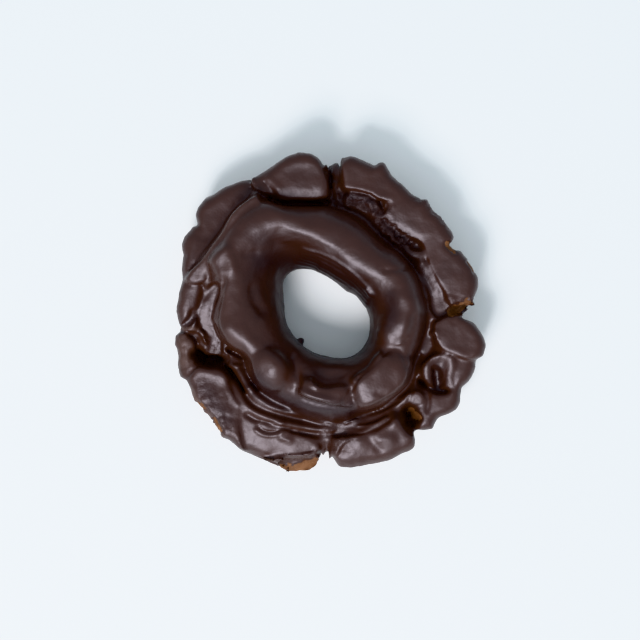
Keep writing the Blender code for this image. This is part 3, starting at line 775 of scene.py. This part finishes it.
# %% Draw the strokes
def draw_strokes(mesh, strokes):
    points, normals = read_points(mesh), read_normals(mesh)
    pixels = seen_at(points)
    moved = np.zeros(len(points))
    for height, width, line in strokes:
        line = soften_line(line)
        near = near_to(pixels, line, 3 * width)
        near = near[normals[near, 2] > 0]
        moved[near] += height * np.exp(-(gap_to(pixels[near], line) / width) ** 2)
    write_points(mesh, points + normals * moved[:, None])
    print("strokes:", len(strokes), "moving up to", round(float(np.abs(moved).max()), 1), "mm")


strokes = list(STROKES.values())
for mark in range(STRETCH_MARKS):
    step = np.array(STRETCH_STEP) * mark
    strokes.append((STRETCH_HEIGHT, STRETCH_WIDTH, [np.add(place, step) for place in STRETCH_LINE]))
draw_strokes(dough.data, strokes)
press_rim(dough.data, steps=720, soften=0.5, power=6)

# %% [markdown]
# ## Crags
# Frying leaves the skirt craggy and the ring nearly smooth. Fractal noise moves each vertex along
# its normal, at a coarse and a fine grain, more low down on the skirt, and most in the torn zones,
# where the crumb was ripped. Each torn zone has its extra roughness, its width and a line.

# %% The torn zones
TORN = {
    "upper_tear": (1.3, 2.4, ((350, 201), (364, 203), (375, 210), (381, 223), (392, 235), (402, 243))),
    "upper_tear_end": (0.6, 1.5, ((378, 205), (388, 208))),
    "recess": (0.4, 1.2, ((332, 180), (338, 190), (342, 200))),
    "lower_left_crumb": (0.28, 3.6, ((205, 388), (211, 402), (220, 415), (230, 427))),
    "left_knob": (0.2, 3, ((184, 340), (184, 368))),
    "pit_edge": (0.5, 1.5, ((208, 347), (216, 352), (224, 355))),
    "right_crumb": (0.6, 2, ((452, 306), (462, 308), (470, 304))),
    "bottom_wrinkles": (0.5, 2, ((326, 430), (336, 434), (350, 436), (336, 444))),
    "folded_face": (0.25, 2.5, ((436, 376), (446, 382))),
    "bottom_crust": (0.05, 1.6, ((284, 464), (300, 465), (316, 461))),
    "rim_left": (0.4, 1.2, ((197, 403), (206, 412), (214, 424), (222, 434))),
    "rim_right": (0.3, 1, ((415, 199), (430, 208), (446, 226))),
}
print("torn zones:", len(TORN))

# %% Roughen the dough
def grain(points, size, octaves, shift=0.0):
    step = Vector((shift, shift, shift))
    return np.array([noise.fractal(Vector(p) / size + step, 0.8, 2.0, octaves) for p in points])


def zone(pixels, zones):
    """How strongly each place lies in the drawn zones."""
    total = np.zeros(len(pixels))
    for strength, width, line in zones.values():
        gap = gap_to(pixels, soften_line(line))
        total = np.maximum(total, strength * np.exp(-(gap / width) ** 2))
    return total


SWELL_SIZE, SWELL_HEIGHT, LOW_SWELL = 7.0, 0.22, 0.3
CRUMB_SIZE, CRUMB_HEIGHT, LOW_CRUMB = 1.7, 0.05, 0.07
LOW_LEVEL, LOW_BLEND = 14, 4
points = read_points(dough.data)
turn, reach = polar(points)
torn = zone(seen_at(points), TORN)
low = np.clip((LOW_LEVEL - points[:, 2]) / LOW_BLEND, 0, 1)
swell = grain(points, SWELL_SIZE, 2) * (SWELL_HEIGHT + LOW_SWELL * low)
crumb = grain(points, CRUMB_SIZE, 4, 5.0) * (CRUMB_HEIGHT + LOW_CRUMB * low * (reach > RIM_FROM) + torn)
write_points(dough.data, points + read_normals(dough.data) * (swell + crumb)[:, None])
print("crags up to", round(float(np.abs(swell + crumb).max()), 2), "mm")

# %% [markdown]
# ## Set it down
# The doughnut rests on its sole, which the fryer leaves flat, and the frame's origin is under the
# middle of its outline, while the rails are measured from the hub of the hole.

# %% Flatten the sole and move the hub to its place
HUB = (-0.79, 0.19)
SOLE_DEPTH = 0.6
points = read_points(dough.data)
points[:, 2] = np.where(points[:, 2] < SOLE_DEPTH, 0, points[:, 2])
points[:, :2] += HUB
write_points(dough.data, points)
print("height", round(points[:, 2].max(), 1), "mm")

# %% [markdown]
# ## The glaze
# The top is dipped in chocolate, which runs down the outside and the hole and stops in an uneven
# edge. The coat is the dough's own skin, and the crust is the same skin moved in by the glaze's
# thickness. Where there is no glaze, the coat lies inside the crust, so its edge looks natural.

# %% Where the glaze lies
COAT_DEPTH, COAT_TUCK = 0.4, 0.35
RUN_SIZE, RUN_HEIGHT, RUN_EDGE = 7.0, 2.5, 1.2
HOLE_REACH, HOLE_LEVEL, OUTSIDE_LEVEL, OUTSIDE_WIDTH = 24, 3.0, 8.0, 7
RAGGED_SIZE, RAGGED_DEPTH, RAGGED_EDGE = 1.5, 0.8, 0.6
# Bare spots are where no glaze took and the crust shows: width, line.
BARE = {
    "right_notch": (0.9, ((447, 243), (455, 251))),
    "right_rim": (0.9, ((471, 262), (476, 270))),
    "right_underside": (1.3, ((452, 312), (460, 308), (468, 303))),
    "lobe_pit": (1.1, ((411, 412), (417, 417))),
    "rim_left_1": (0.7, ((198, 404), (203, 409))),
    "rim_left_2": (0.8, ((214, 419), (219, 431))),
    "bottom_ledge": (1.7, ((284, 470), (300, 470), (318, 463))),
}


def coat_depth(points):
    """Thickness of the glaze over each point, in millimetres, and negative where the crust is bare."""
    turn, reach = polar(points - np.array([*HUB, 0]))
    wander = grain(points, RUN_SIZE, 3, 11.0) * RUN_HEIGHT
    outside = np.clip((reach - rim(turn) + OUTSIDE_WIDTH) / 2, 0, 1)
    level = np.where(reach < HOLE_REACH, HOLE_LEVEL, OUTSIDE_LEVEL * outside) + wander
    below = np.clip((points[:, 2] - level) / RUN_EDGE, -1, 1)
    pixels = seen_at(points - np.array([*HUB, 0]))
    ragged = grain(points, RAGGED_SIZE, 2, 3.0) * RAGGED_DEPTH
    bare = np.full(len(points), 1.0)
    for width, line in BARE.values():
        bare = np.minimum(bare, (gap_to(pixels, soften_line(line)) + ragged - width) / RAGGED_EDGE)
    cover = np.minimum(below, np.clip(bare, -1, 1))
    return np.where(cover > 0, cover * COAT_DEPTH, cover * COAT_TUCK)


# %% Lay the coat
def tuck_under(mesh, cover, covered):
    """Push a skin back inside another wherever it comes through."""
    surface = BVHTree.FromPolygons([v.co for v in cover.vertices], [p.vertices[:] for p in cover.polygons])
    found = 0
    for vert, hidden in zip(mesh.vertices, covered):
        place, normal, _, _ = surface.find_nearest(vert.co)
        if hidden and (vert.co - place).dot(normal) > -0.5 * COAT_DEPTH * MM:
            vert.co = place - normal * COAT_DEPTH * MM
            found += 1
    mesh.update()
    print("tucked", found, "points of the crust under the glaze")


glaze = dough.copy()
glaze.data = dough.data.copy()
glaze.name = "chocolate_glaze"
bpy.context.scene.collection.objects.link(glaze)
depth = coat_depth(read_points(glaze.data))
write_points(glaze.data, read_points(glaze.data) + read_normals(glaze.data) * (depth - COAT_DEPTH)[:, None])
write_points(dough.data, read_points(dough.data) - read_normals(dough.data) * COAT_DEPTH)
tuck_under(dough.data, glaze.data, depth > 0)
print("glaze covers", round(100 * float((depth > 0).mean())), "% of the skin")

# %% [markdown]
# ## Where the glaze differs
# The glaze is painted darker and redder in hollows, creases and on walls turned from the lamp: this is
# painted shade, with some real redness where the glaze ran thin. On rubbed edges it dried pale.
# Such zones could be a painted picture, but painted on the vertices they need no picture file.
# Under the coat the crust is soaked with chocolate, so a thin spot never shows a golden rim.

# %% Paint the zones on the vertices
# Each zone: strength, width, line.
# Painted shade: darker, redder glaze in the hollows, creases and shaded walls below, partly thin glaze.
THIN_AND_SHADE = {
    "ring_lower_band": (1, 3.2, ((256, 380), (264, 390), (280, 399), (302, 406), (326, 410), (350, 411))),
    "crest_hollow": (0.5, 3.6, ((262, 240), (280, 245), (296, 250))),
    "hole_wall": (1, 4.6, ((262, 262), (290, 262), (318, 266), (345, 280), (366, 300))),
    "face": (0.8, 1.8, ((438, 368), (437, 386))),
    "upper_slab_edge": (0.9, 1.6, ((346, 196), (360, 198), (372, 203))),
    "upper_tear": (0.6, 2.2, ((372, 207), (382, 218), (394, 231), (408, 241))),
    "ring_right_wall": (0.7, 2.5, ((390, 296), (393, 312), (390, 324))),
    "left_hollow": (0.6, 1.5, ((186, 324), (194, 318), (198, 328))),
    "flap_rim": (0.6, 1, ((194, 218), (197, 208), (203, 200))),
    "crumb": (0.5, 3, ((205, 388), (214, 404), (226, 420))),
}
WORN = {
    "ring_edge": (0.15, 0.4, RING_EDGE[1:]),
    "rim_lower_left": (0.6, 1, ((190, 390), (196, 402), (206, 413), (214, 424), (220, 436))),
    "bulge_foot": (0.5, 0.5, ((180, 329), (190, 328), (198, 330))),
    "knob": (0.35, 3, ((184, 344), (184, 360))),
}
SOAKED_FROM = 0.2


def paint(mesh, name, values):
    mesh.attributes.new(name, "FLOAT", "POINT").data.foreach_set("value", values)


pixels = seen_at(read_points(glaze.data) - np.array([*HUB, 0]))
# The first set of zones is painted shade; the others are torn crumb and worn glaze.
for name, zones in {"thin": THIN_AND_SHADE, "torn": TORN, "worn": WORN}.items():
    paint(glaze.data, name, zone(pixels, zones))
paint(dough.data, "soaked", (depth > SOAKED_FROM).astype(float))
print("soaked:", round(100 * float((depth > SOAKED_FROM).mean())), "% of the crust")

# %% Put the pieces in the frame
for piece in (dough, glaze):
    piece.data.shade_smooth()
    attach(piece, "root")
    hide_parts("doughnut")
print("triangles:", 2 * len(glaze.data.polygons), "in each piece")

# %% [markdown]
# ## Writing shaders as sums
# A finish is easier to read as a sum than as a list of links. A wire wraps one socket, and an
# expression on wires adds the Math nodes that work it out.

# %% A small kit for finishes
class Wire:
    def __init__(self, finish, socket):
        self.finish, self.socket = finish, socket

    def sum(self, operation, first, second):
        return self.finish.node("ShaderNodeMath", {"operation": operation}, {0: first, 1: second})

    def __add__(self, other):
        return self.sum("ADD", self, other)

    def __radd__(self, other):
        return self.sum("ADD", other, self)

    def __mul__(self, other):
        return self.sum("MULTIPLY", self, other)

    def __rmul__(self, other):
        return self.sum("MULTIPLY", other, self)


class Finish:
    """A material with one Principled shader and a short way to add nodes to it."""

    def __init__(self, name):
        self.material = bpy.data.materials.new(name)
        self.material.use_nodes = True
        self.tree = self.material.node_tree
        self.shader = self.tree.nodes["Principled BSDF"]
        self.place = self.node("ShaderNodeTexCoord", out="Object")

    def node(self, kind, settings=None, sockets=None, out=0):
        node = self.tree.nodes.new(kind)
        for key, value in (settings or {}).items():
            setattr(node, key, value)
        for key, value in (sockets or {}).items():
            self.feed(node.inputs[key], value)
        return Wire(self, node.outputs[out])

    def feed(self, socket, value):
        if isinstance(value, Wire):
            self.tree.links.new(value.socket, socket)
        else:
            socket.default_value = value

    def grain(self, size, detail=3.0, roughness=0.55):
        """Noise from 0 to 1 whose features are about size millimetres across."""
        sockets = {"Vector": self.place, "Scale": 1 / (size * MM), "Detail": detail, "Roughness": roughness}
        return self.node("ShaderNodeTexNoise", {}, sockets)

    def painted(self, name):
        """A value painted on the vertices."""
        return self.node("ShaderNodeAttribute", {"attribute_name": name}, out="Fac")

    def mix(self, factor, first, second):
        settings = {"data_type": "RGBA"}
        return self.node("ShaderNodeMix", settings, {0: factor, 6: first, 7: second}, out=2)

    def span(self, wire, low, high, to_low=0.0, to_high=1.0):
        """Spread the part of a wire between low and high over another range."""
        return self.node("ShaderNodeMapRange", {}, {0: wire, 1: low, 2: high, 3: to_low, 4: to_high})

    def relief(self, height, depth):
        """A bump of the given depth in millimetres, on the normal."""
        sockets = {"Height": height, "Distance": depth * MM, "Strength": 1.0}
        self.feed(self.shader.inputs["Normal"], self.node("ShaderNodeBump", {}, sockets))

    def set(self, **values):
        for key, value in values.items():
            self.feed(self.shader.inputs[key.replace("_", " ")], value)


# %% [markdown]
# ## Chocolate glaze
# Set glaze is nearly black-brown, and its shine varies with how it dried: broad soft patches, and
# a fine waviness. Noise of two sizes makes the colour and the roughness uneven, and torn or worn
# zones are duller. The shine in the photograph is a little cool, so the specular tint is too.

# %% The glaze's finish
GLAZE_DARK = (0.0320, 0.0143, 0.0084, 1)
GLAZE_LIGHT = (0.0380, 0.0168, 0.0101, 1)
# Darker, redder glaze for hollows and shaded walls: painted shade, partly thin glaze.
GLAZE_THIN_AND_SHADE = (0.0165, 0.0068, 0.0042, 1)
GLAZE_WORN = (0.100, 0.058, 0.042, 1)
GLAZE_SHINE = (0.92, 0.88, 1.0, 1)


def glaze_finish():
    finish = Finish("chocolate_glaze")
    patches = finish.grain(9.0)
    speckle = finish.grain(0.9, 4.0)
    thin, torn, worn = (finish.painted(name) for name in ("thin", "torn", "worn"))
    colour = finish.mix(finish.span(patches, 0.35, 0.65), GLAZE_DARK, GLAZE_LIGHT)
    # Painted shade: these zones darken the glaze in hollows and on walls turned from the lamp.
    colour = finish.mix(finish.span(thin, 0, 1), colour, GLAZE_THIN_AND_SHADE)
    colour = finish.mix(finish.span(worn, 0, 1), colour, GLAZE_WORN)
    roughness = 0.36 + patches * 0.10 + speckle * 0.06 + worn * 0.2 + torn * 0.1
    finish.set(Base_Color=colour, Roughness=roughness, Specular_IOR_Level=0.6, Specular_Tint=GLAZE_SHINE)
    finish.relief(finish.grain(0.7, 4.0) * (1 + torn * 6) + finish.grain(3.0) * 2.0, 0.04)
    return finish.material


glaze.data.materials.clear()
glaze.data.materials.append(glaze_finish())
print("glaze nodes:", len(glaze.active_material.node_tree.nodes))

# %% [markdown]
# ## Fried crust
# Where the glaze stops, the cake shows golden brown, darker in uneven patches, and it is matt and
# crumbly.

# %% The crust's finish
CRUST_GOLD = (0.155, 0.068, 0.028, 1)
CRUST_BROWN = (0.070, 0.026, 0.010, 1)
CRUMB_PALE = (0.32, 0.20, 0.125, 1)


def crust_finish():
    finish = Finish("fried_crust")
    browning = finish.grain(5.0, 4.0)
    crumb = finish.grain(0.8, 5.0, 0.7)
    colour = finish.mix(finish.span(browning, 0.35, 0.7), CRUST_GOLD, CRUST_BROWN)
    colour = finish.mix(finish.span(crumb, 0.55, 0.75, 0.0, 0.5), colour, CRUMB_PALE)
    colour = finish.mix(finish.painted("soaked"), colour, GLAZE_DARK)
    finish.set(Base_Color=colour, Roughness=0.65 + crumb * 0.2)
    finish.relief(crumb + browning, 0.25)
    return finish.material


dough.data.materials.clear()
dough.data.materials.append(crust_finish())
print("crust nodes:", len(dough.active_material.node_tree.nodes))

# %% [markdown]
# ## The table
# The doughnut lies on a plain pale surface without an edge, so one large face is enough.

# %% Floor
FLOOR_COLOUR = (0.845, 0.875, 0.90, 1)


def pale_floor():
    finish = Finish("pale_floor")
    finish.set(Base_Color=FLOOR_COLOUR, Roughness=0.6)
    return finish.material


shape = bmesh.new()
bmesh.ops.create_grid(shape, x_segments=1, y_segments=1, size=1.5)
floor = new_piece("floor", shape)
floor.data.materials.append(pale_floor())

# %% [markdown]
# ## The light
# One soft light stands beyond the bottom edge of the picture, a little to its left and about
# halfway up, and the rest is an even white room, a little cooler than the lamp.

# %% Light
LAMP_COLOUR = (1.0, 0.965, 0.965)
ROOM_COLOUR, ROOM_STRENGTH = (0.86, 0.95, 1.0, 1), 0.9


def soft_light(name, azimuth, elevation, distance, size, power, colour):
    lamp = bpy.data.lights.new(name, "AREA")
    lamp.shape, lamp.size, lamp.energy, lamp.color = "SQUARE", size, power, colour
    light = bpy.data.objects.new(name, lamp)
    bpy.context.scene.collection.objects.link(light)
    a, e = math.radians(azimuth), math.radians(elevation)
    light.location = Vector((math.cos(a) * math.cos(e), math.sin(a) * math.cos(e), math.sin(e))) * distance
    light.rotation_euler = light.location.to_track_quat("Z", "Y").to_euler()


soft_light("window", azimuth=246, elevation=51, distance=0.9, size=0.32, power=9.2, colour=LAMP_COLOUR)
room = bpy.data.worlds.new("room")
room.use_nodes = True
room.node_tree.nodes["Background"].inputs["Color"].default_value = ROOM_COLOUR
room.node_tree.nodes["Background"].inputs["Strength"].default_value = ROOM_STRENGTH
bpy.context.scene.world = room
bpy.context.scene.view_settings.view_transform = "Khronos PBR Neutral"

# %% [markdown]
# ## The camera
# It looks straight down from the height that the drawing above reckons with, and its lens makes
# one pixel at mid height as wide as there.

# %% Camera
lens = bpy.data.cameras.new("camera")
camera = bpy.data.objects.new("camera", lens)
bpy.context.scene.collection.objects.link(camera)
camera.location = Vector((LENS_OFFSET[0] + HUB[0], LENS_OFFSET[1] + HUB[1], CAMERA_HEIGHT + MID_HEIGHT)) * MM
lens.sensor_width = 36
lens.lens = lens.sensor_width * CAMERA_HEIGHT / (PHOTO_PIXELS * PIXEL)
bpy.context.scene.camera = camera
